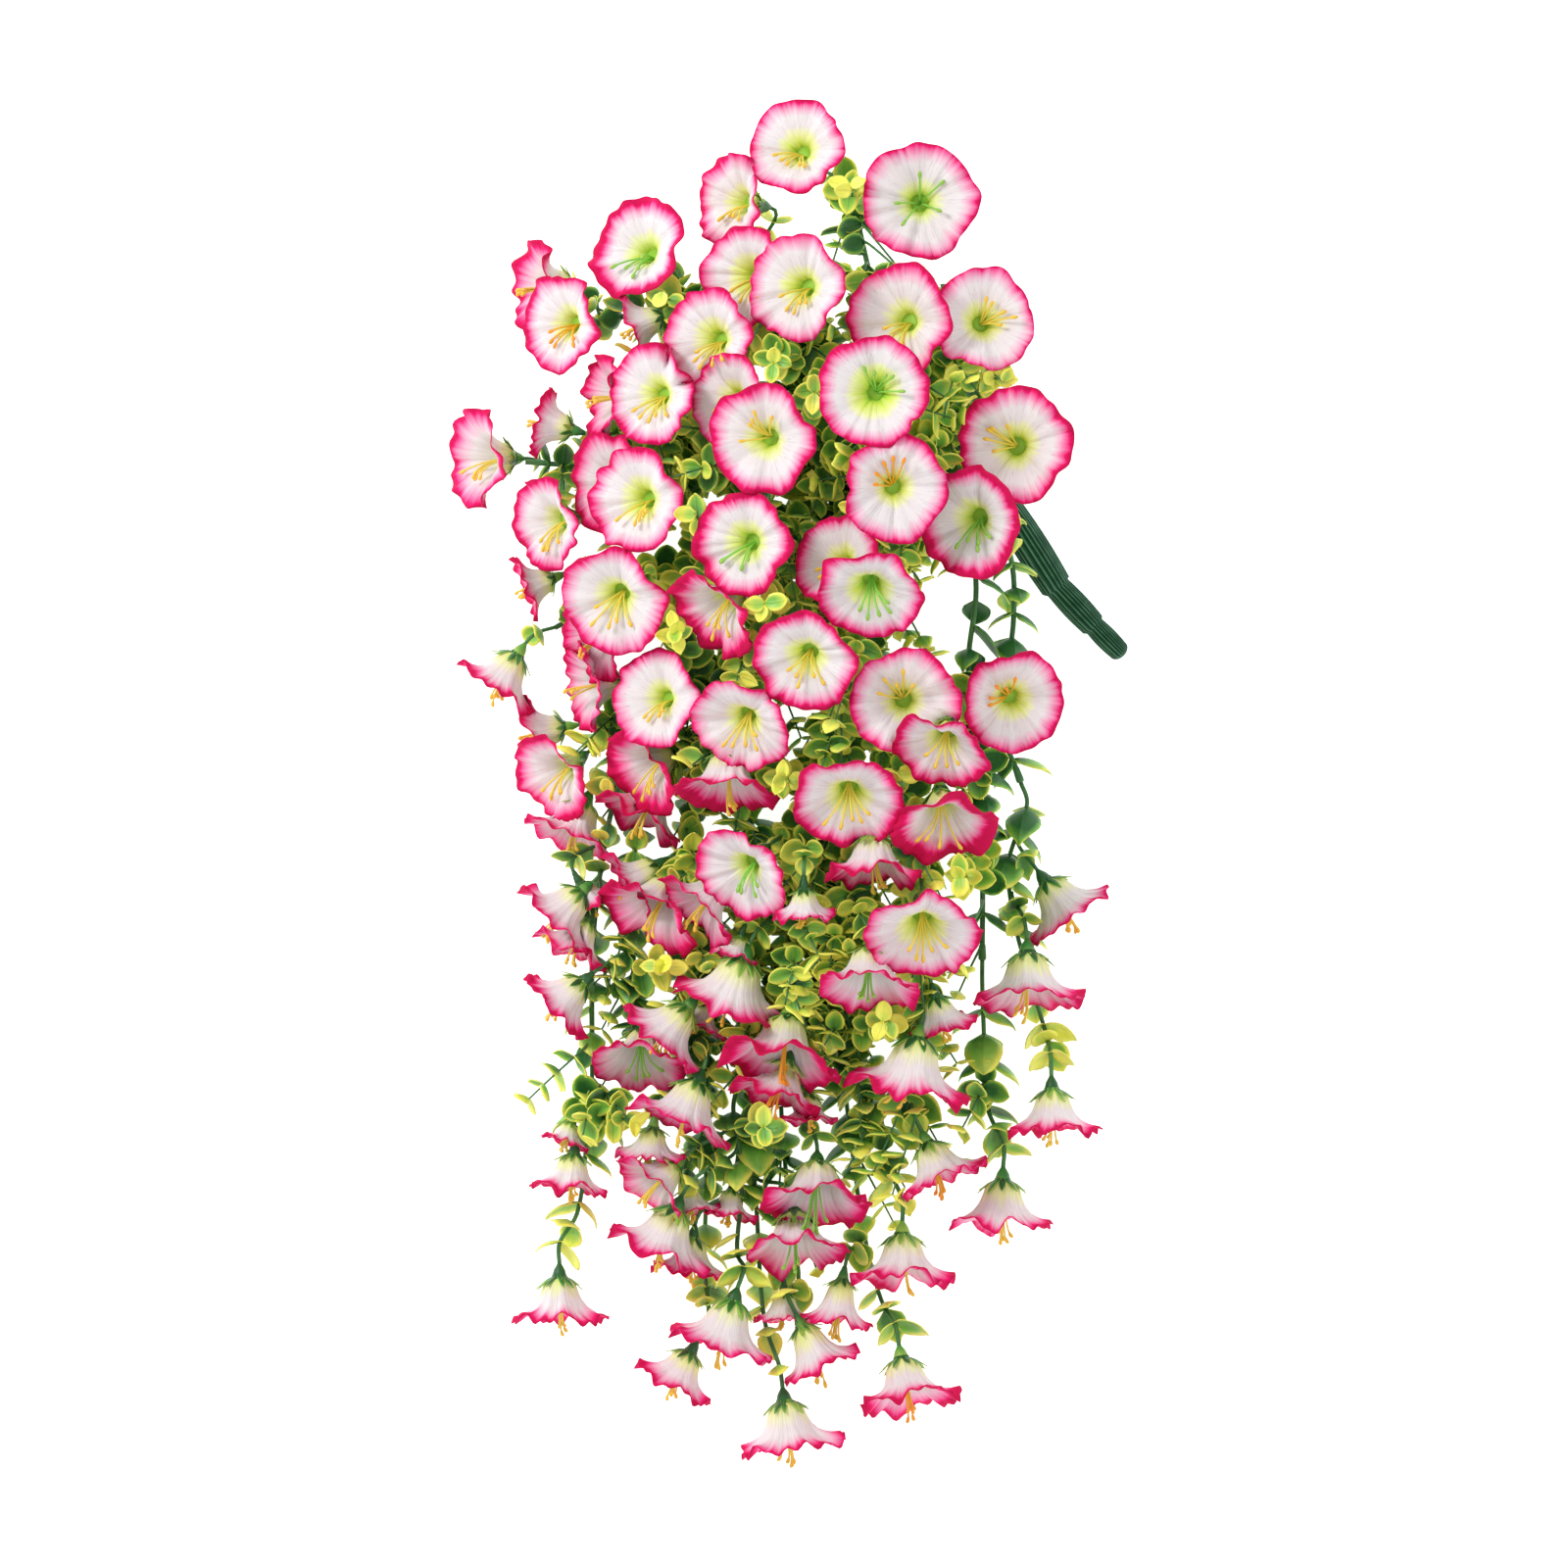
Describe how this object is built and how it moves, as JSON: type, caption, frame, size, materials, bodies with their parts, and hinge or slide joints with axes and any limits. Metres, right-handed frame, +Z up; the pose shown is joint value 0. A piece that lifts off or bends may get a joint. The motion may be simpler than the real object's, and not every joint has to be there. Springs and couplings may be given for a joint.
{
  "type": "artificial trailing petunia bush",
  "caption": "Trailing artificial flower bush: one moulded green stalk that branches into hanging leafy stems, each ending in a trumpet bloom with a waved rim.",
  "frame": {"origin": "on the surface that the bush lies on, under the middle of its outline", "axes": "+X to the bush's right and +Y to its crown end as it is looked at from the front, +Z up from the surface, out of the front of the bush"},
  "size_m": [0.3844, 0.7622, 0.1834],
  "materials": {
    "green_plastic": "satin moulded plastic, dark green to yellow green",
    "stamen_plastic": "moulded plastic, yellow, green or orange",
    "petal_cloth": "printed cloth, white with a pink rim and a yellow-green throat"
  },
  "bodies": {
    "root": {"bloom_14_17": "petal_cloth", "bloom_15_16": "petal_cloth", "bloom_18": "petal_cloth", "bloom_19": "petal_cloth", "bloom_1_3": "petal_cloth", "bloom_2": "petal_cloth", "bloom_22_28": "petal_cloth", "bloom_24_25": "petal_cloth", "bloom_26_27": "petal_cloth", "bloom_29": "petal_cloth", "bloom_30": "petal_cloth", "bloom_31_32_33": "petal_cloth", "bloom_34_38_39": "petal_cloth", "bloom_40_41": "petal_cloth", "bloom_42": "petal_cloth", "bloom_43_44": "petal_cloth", "bloom_45": "petal_cloth", "bloom_46_49": "petal_cloth", "bloom_47": "petal_cloth", "bloom_48_72_73_75_35_36_37_74_76_77_78_79_98": "petal_cloth", "bloom_4_5_8_10_11_12_13_20_21": "petal_cloth", "bloom_50_51": "petal_cloth", "bloom_52": "petal_cloth", "bloom_53": "petal_cloth", "bloom_54": "petal_cloth", "bloom_55": "petal_cloth", "bloom_56": "petal_cloth", "bloom_57": "petal_cloth", "bloom_58": "petal_cloth", "bloom_59": "petal_cloth", "bloom_60_92": "petal_cloth", "bloom_61": "petal_cloth", "bloom_62_63": "petal_cloth", "bloom_64_66_67_96": "petal_cloth", "bloom_68_97": "petal_cloth", "bloom_69": "petal_cloth", "bloom_6_7": "petal_cloth", "bloom_70": "petal_cloth", "bloom_71": "petal_cloth", "bloom_80_81_82_83_84_95": "petal_cloth", "bloom_85": "petal_cloth", "bloom_86": "petal_cloth", "bloom_87": "petal_cloth", "bloom_88": "petal_cloth", "bloom_89": "petal_cloth", "bloom_90": "petal_cloth", "bloom_91": "petal_cloth", "bloom_9_23": "petal_cloth", "shoot_55": "green_plastic", "shoot_56": "green_plastic", "shoot_57": "green_plastic", "shoot_58": "green_plastic", "shoot_61": "green_plastic", "shoot_85": "green_plastic", "shoot_86": "green_plastic", "shoot_87": "green_plastic", "shoot_88": "green_plastic", "shoot_89": "green_plastic", "stalk_and_branches": "green_plastic"}
  },
  "joints": []
}
